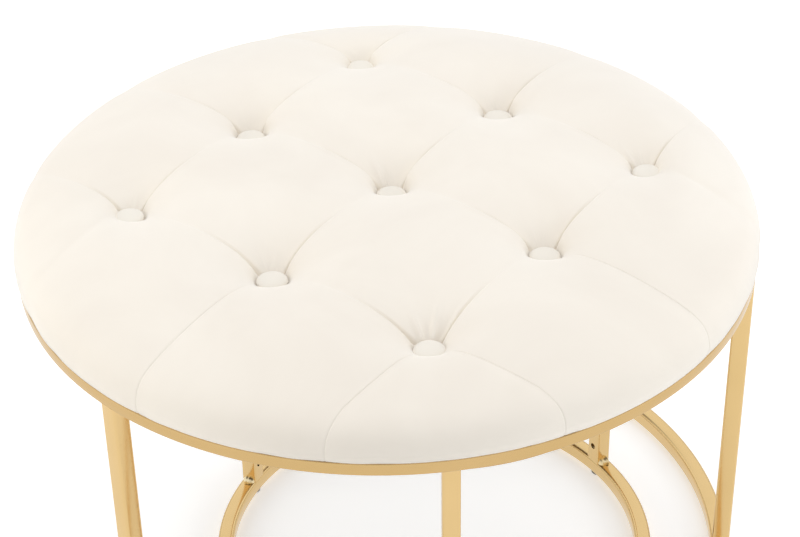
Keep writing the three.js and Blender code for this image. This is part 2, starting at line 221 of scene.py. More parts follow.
def velvet_material(name, pale, deep):
    material, shader = new_material(name, pale, 0.85)
    tree = material.node_tree
    shader.inputs["Sheen Weight"].default_value = 1.0
    shader.inputs["Sheen Roughness"].default_value = 0.5
    shader.inputs["Sheen Tint"].default_value = (1.0, 0.98, 0.94, 1)
    shader.inputs["Specular IOR Level"].default_value = 0.2
    brushed = place_texture(tree, "TexNoise", 7, Detail=4, Roughness=0.55, Distortion=0.6)
    tint(tree, shader, brushed, (0.35, deep), (0.65, pale))
    roughen(tree, shader, brushed, 0.78, 0.94)
    pile = place_texture(tree, "TexNoise", 1500, Detail=3, Roughness=0.7)
    nap = place_texture(tree, "TexNoise", 120, Detail=5, Roughness=0.6)
    bump(tree, shader, [(nap, 0.12, 0.35 * MM), (pile, 0.3, 0.12 * MM)])
    return material


def plywood_material():
    material, shader = new_material("plywood", (0.62, 0.44, 0.26), 0.7)
    tree = material.node_tree
    where = new_node(tree, "TexCoord")
    stretch = new_node(tree, "Mapping", Scale=(3, 60, 200))
    grain = new_node(tree, "TexNoise", Scale=1.6, Detail=8, Distortion=0.5)
    tree.links.new(where.outputs["Object"], stretch.inputs["Vector"])
    tree.links.new(stretch.outputs["Vector"], grain.inputs["Vector"])
    stops = [(0.3, (0.42, 0.27, 0.14)), (0.5, (0.6, 0.42, 0.25)), (0.75, (0.72, 0.54, 0.34))]
    tint(tree, shader, grain.outputs["Fac"], *stops)
    bump(tree, shader, [(grain.outputs["Fac"], 0.25, 0.3 * MM)])
    return material


def steel_material():
    material, shader = new_material("zinc_steel", (0.62, 0.62, 0.6), 0.35, 1.0)
    tree = material.node_tree
    spangle = place_texture(tree, "TexVoronoi", 700)
    roughen(tree, shader, spangle, 0.25, 0.5)
    bump(tree, shader, [(spangle, 0.08, 0.05 * MM)])
    return material


def fibre_material(name, colour, roughness, fibres, stops, height, dimple_scale=None):
    """A dull material of fine fibres, and with dimples where they have a scale."""
    material, shader = new_material(name, colour, roughness)
    tree = material.node_tree
    texture = place_texture(tree, "TexNoise", **fibres)
    tint(tree, shader, texture, *stops)
    heights = [(texture, *height)]
    if dimple_scale is not None:
        heights.append((place_texture(tree, "TexVoronoi", dimple_scale), 0.35, 0.2 * MM))
    bump(tree, shader, heights)
    return material


def cord_material():
    stops = [(0.3, (0.66, 0.62, 0.53)), (0.7, (0.82, 0.79, 0.72))]
    fibres = {"scale": 1400, "Detail": 3}
    return fibre_material("twine", (0.78, 0.74, 0.66), 0.75, fibres, stops, (0.5, 0.2 * MM))


def lining_material():
    stops = [(0.35, (0.012, 0.012, 0.014)), (0.7, (0.05, 0.05, 0.055))]
    fibres = {"scale": 650, "Detail": 6, "Roughness": 0.75}
    colour = (0.025, 0.025, 0.028)
    return fibre_material("dust_cloth", colour, 0.92, fibres, stops, (0.4, 0.15 * MM), 420)


def pad_material():
    stops = [(0.3, (0.22, 0.21, 0.2)), (0.7, (0.36, 0.35, 0.33))]
    fibres = {"scale": 500, "Detail": 4}
    return fibre_material("foot_pad", (0.3, 0.29, 0.27), 0.8, fibres, stops, (0.4, 0.15 * MM))


# Mesh helpers

CORNER_STEPS = 4
RING_SIDES = 240


def add_mesh(name, vertices, faces, material, smooth=True):
    """A closed mesh with its faces turned outwards."""
    mesh = bpy.data.meshes.new(name)
    mesh.from_pydata([tuple(v) for v in vertices], [], faces)
    mesh.validate()
    mesh.update()
    for polygon in mesh.polygons:
        polygon.use_smooth = smooth
    if material is not None:
        mesh.materials.append(material)
    work = bmesh.new()
    work.from_mesh(mesh)
    bmesh.ops.recalc_face_normals(work, faces=work.faces)
    if work.calc_volume(signed=True) < 0:
        bmesh.ops.reverse_faces(work, faces=work.faces)
    work.to_mesh(mesh)
    work.free()
    return add_object(name, mesh)


def apply_modifiers(piece):
    graph = bpy.context.evaluated_depsgraph_get()
    mesh = bpy.data.meshes.new_from_object(piece.evaluated_get(graph))
    piece.modifiers.clear()
    piece.data = mesh


def numbered(rings):
    """All points of some rings in one list, and each ring as numbers in that list."""
    points = [point for ring in rings for point in ring]
    numbers = iter(range(len(points)))
    return points, [[next(numbers) for _ in ring] for ring in rings]


def join_rows(rows, closed=False):
    """Quads between rings of vertex numbers."""
    pairs = list(zip(rows, rows[1:]))
    if closed:
        pairs.append((rows[-1], rows[0]))
    faces = []
    for upper, lower in pairs:
        count = len(upper)
        for k in range(count):
            faces.append((upper[k], upper[(k + 1) % count], lower[(k + 1) % count], lower[k]))
    return faces


def capped_rows(rows):
    """Quads between rings of vertex numbers, after a face at each end."""
    return [tuple(rows[0]), tuple(reversed(rows[-1]))] + join_rows(rows)


def fan(ring, centre):
    """Triangles between a ring of vertex numbers and one vertex inside it."""
    return [(v, ring[(k + 1) % len(ring)], centre) for k, v in enumerate(ring)]


def angles_round(sides):
    return [2 * math.pi * k / sides for k in range(sides)]


def polar(radius, angle, height):
    return Vector((radius * math.cos(angle), radius * math.sin(angle), height))


def quarter(x, y, radius, start):
    """Points along a quarter of a circle about a point, from a bearing in degrees."""
    angles = [math.radians(start + 90 * k / CORNER_STEPS) for k in range(CORNER_STEPS + 1)]
    return [(x + radius * math.cos(angle), y + radius * math.sin(angle)) for angle in angles]


def rounded_rectangle(width, height, corner):
    """Points anticlockwise round a rectangle about the origin, with arcs at its corners."""
    points = []
    for across, up, start in ((1, -1, -90), (1, 1, 0), (-1, 1, 90), (-1, -1, 180)):
        points += quarter(across * (width / 2 - corner), up * (height / 2 - corner), corner, start)
    return points


def revolve(name, profile, middle, material):
    """Turns a closed (radius, height) profile round a vertical line through middle."""
    rings = [
        [(middle.x + radius * math.cos(angle), middle.y + radius * math.sin(angle), height)
         for angle in angles_round(RING_SIDES)]
        for radius, height in profile
    ]
    vertices, rows = numbered(rings)
    return add_mesh(name, vertices, join_rows(rows, closed=True), material)


def join_meshes(name, parts, material, smooth=True):
    """One piece from several lists of vertices and faces."""
    vertices = []
    faces = []
    for part_vertices, part_faces in parts:
        start = len(vertices)
        vertices.extend(part_vertices)
        faces.extend(tuple(start + k for k in face) for face in part_faces)
    return add_mesh(name, vertices, faces, material, smooth)


def finish_piece(piece, body, slot, *nodes):
    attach(piece, body)
    if nodes:
        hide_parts(*nodes)


# Frame pieces

BASE_END_DOME = 1.2 * MM


def ring_section(stool, bottom, height, corner):
    section = rounded_rectangle(TUBE, height, corner)
    return [(stool.tube_radius + x, bottom + height / 2 + y) for x, y in section]


def add_top_ring(stool, material):
    section = ring_section(stool, stool.band_bottom, BAND_HEIGHT, BAND_CORNER)
    return revolve(stool.name + "_top_ring_tube", section, stool.middle, material)


def add_base_ring(stool, material):
    """A closed ring, or an arc with plugged ends that leaves one side open."""
    name = stool.name + "_base_ring_tube"
    height = stool.ring_top - stool.ring_bottom
    section = ring_section(stool, stool.ring_bottom, height, BASE_CORNER)
    if not stool.base_open:
        return revolve(name, section, stool.middle, material)
    middle_radius = stool.tube_radius
    past = (TUBE / 2 + BASE_END_OVERHANG) / middle_radius
    start = stool.leg_bearings[0] - past
    end = stool.leg_bearings[-1] + past
    middle_height = (stool.ring_bottom + stool.ring_top) / 2
    dome = BASE_END_DOME / middle_radius
    stations = [(start - dome, 0.9), (start - dome / 2, 0.97)]
    stations += [(start + (end - start) * k / RING_SIDES, 1.0) for k in range(RING_SIDES + 1)]
    stations += [(end + dome / 2, 0.97), (end + dome, 0.9)]
    rings = []
    for angle, share in stations:
        ring = []
        for radius, height in section:
            out = middle_radius + (radius - middle_radius) * share
            up = middle_height + (height - middle_height) * share
            ring.append(stool.middle + polar(out, angle, up))
        rings.append(ring)
    vertices, rows = numbered(rings)
    base = add_mesh(name, vertices, capped_rows(rows), material)
    base.data.set_sharp_from_angle(angle=math.radians(50))
    return base


TAB_LENGTH = 26 * MM
TAB_WIDTH = 24 * MM
TAB_THICKNESS = 2.5 * MM
TAB_HOLE_RADIUS = 2.5 * MM
TAB_HOLE_INSET = 8.5 * MM
TAB_CORNER = 4 * MM
TAB_DROP = 0.3 * MM
TAB_EDGE = 0.4 * MM


def add_tab(stool, number, bearing, material):
    """A welded tab with rounded inner corners and a screw hole."""
    inner = stool.radius - TUBE - TAB_LENGTH
    outer = stool.radius - TUBE + TAB_CORNER / 4
    top = stool.band_top - TAB_DROP
    outline = [(outer, -TAB_WIDTH / 2), (outer, TAB_WIDTH / 2)]
    for side, start in ((1, 90), (-1, 180)):
        centre_y = side * (TAB_WIDTH / 2 - TAB_CORNER)
        outline += quarter(inner + TAB_CORNER, centre_y, TAB_CORNER, start)
    sides = [[(x, y, z) for x, y in outline] for z in (top, top - TAB_THICKNESS)]
    vertices, rows = numbered(sides)
    name = stool.name + "_tab_" + str(number)
    tab = add_mesh(name, vertices, capped_rows(rows), material, smooth=False)
    drill(tab, (inner + TAB_HOLE_INSET, 0, top), TAB_HOLE_RADIUS, "Z", TAB_WIDTH)
    soften(tab, TAB_EDGE)
    tab.data.transform(stool.turned(bearing))
    return tab


def drill(piece, place, radius, axis, depth):
    """Cuts a round hole through a piece at a place, along its X or Z axis."""
    turn = Matrix.Rotation(math.pi / 2, 4, "Y") if axis == "X" else Matrix.Identity(4)
    bit = bmesh.new()
    bmesh.ops.create_cone(bit, cap_ends=True, segments=24, radius1=radius, radius2=radius,
                          depth=depth, matrix=Matrix.Translation(place) @ turn)
    mesh = bpy.data.meshes.new("drill")
    bit.to_mesh(mesh)
    bit.free()
    cutter = add_object("drill", mesh)
    cut = piece.modifiers.new("cut", "BOOLEAN")
    cut.operation = "DIFFERENCE"
    cut.object = cutter
    cut.solver = "EXACT"
    bpy.context.view_layer.update()
    apply_modifiers(piece)
    bpy.data.objects.remove(cutter)


def soften(piece, width):
    edge = piece.modifiers.new("edge", "BEVEL")
    edge.width = width
    edge.segments = 2
    edge.limit_method = "ANGLE"
    edge.angle_limit = math.radians(40)
    edge.harden_normals = True
    apply_modifiers(piece)


WELDED_IN = 0.2 * MM


def add_leg(stool, number, bearing, material):
    """A square tube with round corners, open at both ends, with a vent hole in its inward face."""
    outer = rounded_rectangle(TUBE, TUBE, TUBE_CORNER)
    bore = TUBE - 2 * TUBE_WALL
    inner = rounded_rectangle(bore, bore, TUBE_CORNER - TUBE_WALL)
    levels = [stool.ring_top - WELDED_IN, stool.band_bottom + BAND_CORNER - WELDED_IN]
    rings = [[(x, y, z) for x, y in section] for section in (outer, inner) for z in levels]
    vertices, rows = numbered(rings)
    faces = join_rows([rows[0], rows[1], rows[3], rows[2]], closed=True)
    name = stool.name + "_leg_" + str(number)
    leg = add_mesh(name + "_tube", vertices, faces, material)
    drill(leg, (-TUBE / 2, 0, stool.leg_bottom + VENT_HEIGHT), VENT_RADIUS, "X", TUBE / 2)
    leg.data.set_sharp_from_angle(angle=math.radians(35))
    reach = Matrix.Translation((stool.tube_radius, 0, 0))
    leg.data.transform(stool.turned(bearing) @ reach)
    finish_piece(leg, stool.body, "gold_metal", name)
    return leg


# Weld beads at the ends of the legs

FOOT_BEAD_RADIUS = 4.1 * MM
HEAD_BEAD_RADIUS = 1.3 * MM
FOOT_BEAD_LIFT = 0.4 * MM
BEAD_GAP = 0.2 * MM
BEAD_INNER_INSET = 1.5 * MM
BEAD_OUTER_INSET = 2.5 * MM
BEAD_LUMPS = 5
BEAD_DENT = 0.1
BEAD_STEPS = 40
BEAD_SIDES = 14


def bead_mesh(start, end, size, seed):
    """A lumpy run of weld metal between two points, with closed round ends."""
    dice = random.Random(seed)
    ranges = ((0.12, 0.88), (0.08, 0.15), (-0.2, 0.34))
    lumps = [[dice.uniform(low, high) for low, high in ranges] for _ in range(BEAD_LUMPS)]
    along = end - start
    side = Vector((0, 0, 1)) if abs(along.normalized().z) < 0.9 else Vector((1, 0, 0))
    across = along.cross(side).normalized()
    up = across.cross(along).normalized()
    rings = []
    for step in range(BEAD_STEPS + 1):
        t = step / BEAD_STEPS
        swell = math.sqrt(max(0.0, 1 - (2 * t - 1) ** 4))
        lump = 1 + sum(rise * math.exp(-((t - place) / width) ** 2) for place, width, rise in lumps)
        radius = max(0.02, swell * lump) * size
        centre = start + along * t
        ring = []
        for angle in angles_round(BEAD_SIDES):
            place = Vector((t * 5, math.cos(angle) * 1.5, math.sin(angle) * 1.5 + seed))
            reach = radius * (1 + BEAD_DENT * noise.noise(place))
            ring.append(centre + across * reach * math.cos(angle) + up * reach * math.sin(angle))
        rings.append(ring)
    vertices, rows = numbered(rings)
    return vertices, capped_rows(rows)


def add_beads(stool, material):
    """Beads down both flanks of each leg, at its foot and at its head."""
    for number, bearing in enumerate(stool.leg_bearings, 1):
        turn = stool.turned(bearing)
        inner = stool.radius - TUBE + BEAD_INNER_INSET
        outer = stool.radius - BEAD_OUTER_INSET
        parts = []
        foot = (stool.ring_top + FOOT_BEAD_LIFT, FOOT_BEAD_RADIUS)
        for height, size in (foot, (stool.band_bottom, HEAD_BEAD_RADIUS)):
            for side in (-1, 1):
                y = side * (TUBE / 2 + BEAD_GAP)
                start = turn @ Vector((inner, y, height))
                end = turn @ Vector((outer, y, height))
                parts.append(bead_mesh(start, end, size, number * 7 + side + size))
        beads = join_meshes(stool.name + "_weld_beads_" + str(number), parts, material)
        finish_piece(beads, stool.body, "gold_metal")


def add_frame(stool, material, painted_shade_material, painted_highlight_material):
    base = add_base_ring(stool, material)
    finish_piece(base, stool.body, "gold_metal", stool.name + "_base_ring")
    # The top ring gets the darker copy of the gold, which is painted shade
    top = add_top_ring(stool, painted_shade_material)
    finish_piece(top, stool.body, "gold_metal", stool.name + "_top_ring")
    for number, bearing in enumerate(stool.leg_bearings, 1):
        add_leg(stool, number, bearing, material)
        tab = add_tab(stool, number, bearing + math.pi / 3, material)
        finish_piece(tab, stool.body, "gold_metal")
    # The beads get the paler copy of the gold, which is painted highlight
    add_beads(stool, painted_highlight_material)


# Cushion

TOP_REACH_SHARE = 0.93
FINE_STEPS = (0.5, 1.1, 1.8, 2.6, 3.5, 4.5, 5.6, 6.8, 8.1, 9.5, 10.9, 12.3, 13.7, 15.1, 16.5,
              18, 19.6, 21.4, 23.5, 26, 29, 32.5, 36.5, 41, 46, 51.5, 57.5, 63.5, 70, 76.5)
PLAIN_STEPS = (0.8, 1.8, 3, 4.6, 6.6, 9, 11.6, 14.4, 17.6, 21.5, 26.5, 33, 41, 50, 60, 71)
LOOSE_STEPS = (6, 13, 21, 31, 43, 56, 70)
FINE_SIDE_ROWS = 30
LOOSE_SIDE_ROWS = 9
PULL_WIDTH = 14.2 * MM
PUFF_SHARE = 0.021
PUFF_FLAT_SHARE = 0.45
PUFF_FADE_SHARE = 0.5
LIP_REACH = 3.0 * MM
SIDE_REACH = 21 * MM
SLOPE_REACH = 26 * MM
SLOPE_POWER = 1.15
STEP_WIDTH = 2.4 * MM
LOOSE_STEP_WIDTH = 8 * MM
VALLEY_BEHIND = 4 * MM
VALLEY_BEFORE = 1.6 * MM
VALLEY_REACH = 34 * MM
VALLEY_POWER = 1.3
DIP_WIDTH = 3.5 * MM
DIP_EXTRA_WIDTH = 4 * MM
DIP_POWER = 0.9
HOLLOW_WIDTH = 9 * MM
REST_VALLEY = 0.9 * MM
REST_WIDTH = 14 * MM
FOLD_WIDTH = 1.35 * MM
FOLD_DEPTH = 6.8 * MM
FOLD_REACH = 42 * MM
FOLD_START = 4 * MM
FOLD_SHOULDER = 4.6 * MM
SEAM_DEPTH = 0.8 * MM
SEAM_WIDTH = 0.6 * MM
SEAM_START = 22 * MM
SEAM_START_LENGTH = 30 * MM
SEAM_SPREAD = math.radians(1.6)
SHIFT_FADE_START = 0.75
SIDE_ROW_POWER = 1.2
CREASE_FADE = 0.4
HEM_SHARE = 0.2
HEM_TUCK_POWER = 1.6
HEM_WAVES = 12
HEM_WAVE_OUT = 0.9 * MM
HEM_WAVE_UP = 1.1 * MM
HEM_START_INSET = 3 * MM
HEM_DROP = 0.05 * MM
BOARD_EDGE_GAP = 0.6 * MM
BOARD_TOP_GAP = 0.4 * MM

# How steeply the fabric rises in front of each button. The small seat uses the first four
LIP_SHARES = (0.34, 0.32, 0.2, 0.54, 0.56, 0.48, 0.54, 0.48, 0.44)

# Pleats behind the buttons of the large seat: button number, bearing, height, length and width
PLEATS = [
    (3, 110, 4.4, 22, 2.7), (3, 79, 4.2, 28, 2.8), (3, 94, -1.2, 20, 2.0), (3, 60, -2.4, 26, 2.6),
    (5, 113, 3.8, 24, 2.8), (5, 98, -1.2, 22, 1.8), (5, 80, 0.7, 16, 2.0), (9, 118, 1.6, 18, 2.0),
    (9, 94, 1.2, 20, 2.0), (9, 70, -0.9, 16, 2.0), (2, 112, 1.1, 18, 2.2), (2, 84, 0.9, 16, 2.0),
    (6, 110, 1.2, 20, 2.2), (6, 84, 0.8, 16, 2.0), (8, 104, 1.4, 18, 2.2), (8, 80, 0.8, 14, 2.0),
    (4, 110, 1.0, 16, 2.0), (4, 84, 0.7, 14, 2.0), (7, 108, 0.9, 15, 2.0), (1, 112, 1.2, 18, 2.2),
    (1, 84, 1.0, 16, 2.0),
]


def net_lines(stool, reach, all_steps):
    """The lines of the cushion's net from edge to edge, with one on every line of buttons."""
    steps = [step * MM for step in all_steps]
    half = stool.spacing / 2
    inside = [step for step in steps if step < half - 2 * MM]
    lines = []
    for row in stool.button_lines[:-1]:
        lines.append(row)
        lines.extend(row + step for step in inside)
        lines.append(row + half)
        lines.extend(row + stool.spacing - step for step in reversed(inside))
    outermost = stool.button_lines[-1]
    lines.append(outermost)
    limit = reach - outermost
    outside = [step for step in steps if step < limit - 4 * MM]
    last_gap = outside[-1] - outside[-2]
    while limit - outside[-1] > 1.5 * last_gap:
        outside.append(outside[-1] + last_gap)
    outside = [outermost + step for step in outside] + [reach]
    return np.array([-line for line in reversed(outside)] + lines + outside)


def smooth_step(values):
    values = np.clip(values, 0, 1)
    return values * values * (3 - 2 * values)


def bell(values, width):
    return np.exp(-(values / width) ** 2)


class Envelope:
    """The cushion's form before it is tufted: a flattened dome with full sides."""

    def __init__(self, stool, shrink):
        self.radius = stool.radius + CUSHION_OVERHANG
        self.height = CUSHION_CREST + BAND_HEIGHT - shrink
        self.floor = stool.band_bottom

    def height_at(self, radius):
        share = np.minimum(1.0, radius / self.radius)
        sine = share ** (EDGE_POWER / 2)
        fade = smooth_step((share - PUFF_FLAT_SHARE) / PUFF_FADE_SHARE)
        puff = PUFF_SHARE * self.radius * (1 - fade)
        return self.floor + self.height * np.sqrt(1 - sine * sine) ** (2 / CROWN_POWER) + puff

    def radius_at(self, height):
        cosine = np.clip((height - self.floor) / self.height, 0, 1) ** (CROWN_POWER / 2)
        return self.radius * np.sqrt(1 - cosine * cosine) ** (2 / EDGE_POWER)

    def normal_at(self, radius, height):
        """The outward and upward parts of the direction square to the surface."""
        out = (radius / self.radius) ** (EDGE_POWER - 1) * EDGE_POWER / self.radius
        level = np.clip((height - self.floor) / self.height, 0, 1)
        up = level ** (CROWN_POWER - 1) * CROWN_POWER / self.height
        size = np.hypot(out, up)
        return out / size, up / size


def to_nearest_line(stool, values):
    """Signed distances to the nearest lines of buttons, and the lines' numbers."""
    gaps = values[..., None] - np.array(stool.button_lines)
    nearest = np.abs(gaps).argmin(-1)
    return np.take_along_axis(gaps, nearest[..., None], -1)[..., 0], nearest


def tufting(stool, across, along, fine):
    """How far the buttons pull the fabric down, as a share, and the creases' depth, over the grid.

    Each button has a long slope down to it from behind, and full lips of fabric on its other sides.
    """
    step_width = STEP_WIDTH if fine else LOOSE_STEP_WIDTH
    spared = np.ones_like(across)
    number = 0
    for row in stool.button_lines:
        for column in stool.button_lines:
            east, north = across - column, along - row
            out = np.maximum(0, np.hypot(east, north) - PULL_WIDTH)
            steep = LIP_SHARES[number]
            number += 1
            side = np.exp(-(out / SIDE_REACH) ** SLOPE_POWER)
            lip = steep * np.exp(-out / LIP_REACH) + (1 - steep) * side
            slope = np.exp(-(out / SLOPE_REACH) ** SLOPE_POWER)
            behind = smooth_step(1 + np.minimum(-east, north) / step_width)
            spared *= 1 - lip - (slope - lip) * behind
    near_x, line_x = to_nearest_line(stool, across)
    near_y, line_y = to_nearest_line(stool, along)
    last = len(stool.button_lines) - 1
    creases = np.zeros_like(across)
    rise = np.zeros_like(across)
    sides = (
        (near_x, near_y, near_y > 0, (line_y == 0) & (near_y < 0) & (line_x > 0), 0.0),
        (near_y, near_x, near_x < 0, (line_x == last) & (near_x > 0) & (line_y < last),
         FOLD_SHOULDER),
    )
    for near, run, behind, seam, shoulder in sides:
        run = np.abs(run)
        closeness = np.exp(-(run / VALLEY_REACH) ** VALLEY_POWER)
        dip_width = DIP_WIDTH + DIP_EXTRA_WIDTH * closeness
        dip = VALLEY_BEHIND * np.exp(-(np.abs(near) / dip_width) ** DIP_POWER)
        hollow = VALLEY_BEFORE * bell(near, HOLLOW_WIDTH)
        valley = REST_VALLEY * bell(near, REST_WIDTH)
        valley = valley + closeness * np.where(behind, dip, hollow)
        if fine:
            aside = near - shoulder * closeness
            fold = FOLD_DEPTH * bell(run, FOLD_REACH) * bell(aside, FOLD_WIDTH)
            started = smooth_step((run - PULL_WIDTH) / FOLD_START)
            along_seam = smooth_step((run - SEAM_START) / SEAM_START_LENGTH)
            stitched = SEAM_DEPTH * along_seam * bell(near, SEAM_WIDTH)
            valley = valley + np.where(seam, stitched, 0.0)
            rise = np.minimum(rise, -np.where(behind, fold * started, 0.0))
        creases = np.maximum(creases, valley)
    if fine and stool.name == "large":
        count = last + 1
        bearings = np.arctan2(near_y, near_x)
        distance = np.hypot(near_x, near_y)
        out = np.maximum(0, distance - PULL_WIDTH)
        for number, bearing, height, length, width in PLEATS:
            here = (line_x == (number - 1) % count) & (line_y == (number - 1) // count)
            turn = bearings - math.radians(bearing) + CUSHION_TURN
            turn = (turn + math.pi) % (2 * math.pi) - math.pi
            ridge = bell(turn * np.maximum(distance, BUTTON_RADIUS), width * MM)
            ends = np.minimum(1, out / MM) * bell(out, length * MM)
            rise += here * height * MM * ridge * ends
    return 1 - spared, creases, rise


def laid_out(stool, lines, reach):
    """The net's points in plan: lines of buttons, which run on outwards and end on a circle."""
    across, along = np.meshgrid(lines, lines)
    last = stool.button_lines[-1]
    seam = math.asin(last / reach) - SEAM_SPREAD
    narrowing = reach * math.sin(seam) / last - 1
    size_x, size_y = np.abs(across), np.abs(along)
    s = np.maximum(0, size_x - last) / (reach - last)
    t = np.maximum(0, size_y - last) / (reach - last)

    def beside(size, beyond):
        side = size * (1 + narrowing * beyond ** 2)
        return side, last + (np.sqrt(reach ** 2 - side ** 2) - last) * beyond

    side_y, out_x = beside(np.minimum(size_y, last), s)
    side_x, out_y = beside(np.minimum(size_x, last), t)
    x = np.where(s > 0, out_x, side_x)
    y = np.where(t > 0, out_y, side_y)
    # Each corner is a patch between two seams and the circle
    right = seam + (math.pi / 4 - seam) * t
    top = math.pi / 2 - seam - (math.pi / 4 - seam) * s
    end_x, end_y = reach * math.cos(seam), reach * math.sin(seam)
    half = reach * math.sqrt(0.5)

    def patch(lower, upper, left, far, far_end, near_end):
        return ((1 - t) * lower + t * reach * upper + (1 - s) * left + s * reach * far
                - (1 - s) * (1 - t) * last - s * (1 - t) * far_end
                - (1 - s) * t * near_end - s * t * half)

    patch_x = patch(out_x, np.cos(top), side_x, np.cos(right), end_x, end_y)
    patch_y = patch(side_y, np.sin(top), out_y, np.sin(right), end_y, end_x)
    corner = (s > 0) & (t > 0)
    x = np.where(corner, patch_x, x) * np.sign(across)
    y = np.where(corner, patch_y, y) * np.sign(along)
    return x, y, across, along


def carried_round(stool, bearing, reach, out):
    """Bearings further down the side, where the seams come round a little as the side swells."""
    quarter = np.round(bearing / (math.pi / 2)) * (math.pi / 2)
    turn = bearing - quarter
    size = np.abs(turn)
    seam = math.asin(stool.button_lines[-1] / reach) - SEAM_SPREAD
    held = np.minimum(size, seam)
    moved = np.arcsin(np.clip(reach * np.sin(held) / out, 0, 1)) - held
    moved = moved * np.clip((math.pi / 4 - size) / (math.pi / 4 - seam), 0, 1)
    return bearing + np.sign(turn) * moved


def cushion_rows(stool, all_steps, side_rows, shrink, fine):
    """The points of the cushion's top net and of the rows down its side, and the net's lines."""
    envelope = Envelope(stool, shrink)
    reach = TOP_REACH_SHARE * (stool.radius + CUSHION_OVERHANG)
    lines = net_lines(stool, reach, all_steps)
    plan_x, plan_y, across, along = laid_out(stool, lines, reach)
    plan_radius = np.hypot(plan_x, plan_y)
    blend = smooth_step((plan_radius / reach - SHIFT_FADE_START) / (1 - SHIFT_FADE_START))
    x = plan_x + stool.tufting.x
    y = plan_y + stool.tufting.y
    fit = 1 - blend + blend * plan_radius / np.maximum(np.hypot(x, y), 1e-9)
    x, y = x * fit, y * fit
    around = np.hypot(x, y)
    crown = envelope.height_at(around)
    pull, creases, rise = tufting(stool, across, along, fine)
    outward, upward = envelope.normal_at(around, crown)
    depth = (1 - pull) * creases
    bearing = np.arctan2(y, x)
    x = x - depth * outward * np.cos(bearing)
    y = y - depth * outward * np.sin(bearing)
    z = crown - pull * (crown - stool.tuft_floor) - depth * upward + rise
    top = np.stack([x, y, z], -1)
    last = len(lines) - 1
    loop = [(0, k) for k in range(last)] + [(k, last) for k in range(last)]
    loop += [(last, k) for k in range(last, 0, -1)] + [(k, 0) for k in range(last, 0, -1)]
    j = np.array([a for a, b in loop])
    i = np.array([b for a, b in loop])
    bearing = bearing[j, i]
    start = crown[j, i]
    crease = creases[j, i]
    rows = []
    for step in range(1, side_rows + 1):
        share = step / side_rows
        height = start + share ** SIDE_ROW_POWER * (stool.hem_bottom - start)
        out = envelope.radius_at(height)
        turned = carried_round(stool, bearing, reach, out)
        outward, upward = envelope.normal_at(out, height)
        fade = 1 - CREASE_FADE * share
        out = out - crease * fade * outward
        height = height - crease * fade * upward * (1 - share)
        low = max(0.0, (share - (1 - HEM_SHARE)) / HEM_SHARE)
        tuck = HEM_TUCK * low ** HEM_TUCK_POWER
        if fine:
            ease = np.array([noise.noise(polar(1, b, 0) * HEM_WAVES) for b in turned])
            tuck = tuck - HEM_WAVE_OUT * ease * low
            height = height + HEM_WAVE_UP * np.maximum(0, ease) * low
        out = out - tuck
        rows.append(np.stack([out * np.cos(turned), out * np.sin(turned), height], -1))
    return top, np.array(rows), lines, (j, i)


def closed_cushion(stool, top, side, loop):
    """Vertices and faces of the cushion: its top, its side, and its underside round the board."""
    count = len(top)
    j, i = loop
    vertices = [top.reshape(-1, 3)]
    numbers = np.arange(count * count).reshape(count, count)
    corners = [numbers[:-1, :-1], numbers[:-1, 1:], numbers[1:, 1:], numbers[1:, :-1]]
    faces = [tuple(face) for face in np.stack(corners, -1).reshape(-1, 4).tolist()]
    rows = [numbers[j, i].tolist()]
    bearing = np.arctan2(side[0][:, 1], side[0][:, 0])
    hem_top = stool.hem_bottom + COVER_THICKNESS
    board_edge = stool.board_radius + BOARD_EDGE_GAP
    ceiling = stool.board_top + BOARD_TOP_GAP
    inner = [
        (stool.radius - HEM_START_INSET, stool.hem_bottom - HEM_DROP),
        (stool.radius - HEM_WIDTH, stool.hem_bottom),
        (stool.radius - HEM_WIDTH, hem_top),
        (board_edge, hem_top),
        (board_edge, ceiling),
        (stool.board_radius / 2, ceiling),
    ]
    underside = [
        np.stack([out * np.cos(bearing), out * np.sin(bearing), np.full_like(bearing, height)], -1)
        for out, height in inner
    ]
    total = count * count
    for row in list(side) + underside:
        vertices.append(row)
        rows.append(list(range(total, total + len(row))))
        total += len(row)
    vertices.append(np.array([[0, 0, ceiling]]))
    faces += join_rows(rows) + fan(rows[-1], total)
    return np.concatenate(vertices), faces


# The fabric's own swelling and drag, from a short cloth simulation on a looser net

SWELL_ALLOWANCE = 0.9 * MM
SWELL_CAP = 6 * MM
SWELL_FADE_START = 0.45
HELD_RADIUS = 15 * MM
HELD_CREASE = 1 * MM
CREASE_HOLD = 0.6
SIM_FRAMES = 20
CLOTH = {
    "quality": 6, "mass": 0.4, "tension_stiffness": 30, "compression_stiffness": 30,
    "shear_stiffness": 12, "bending_stiffness": 4, "tension_damping": 12,
    "compression_damping": 12, "air_damping": 3, "use_pressure": True,
    "uniform_pressure_force": 9, "vertex_group_mass": "held", "pin_stiffness": 1,
}


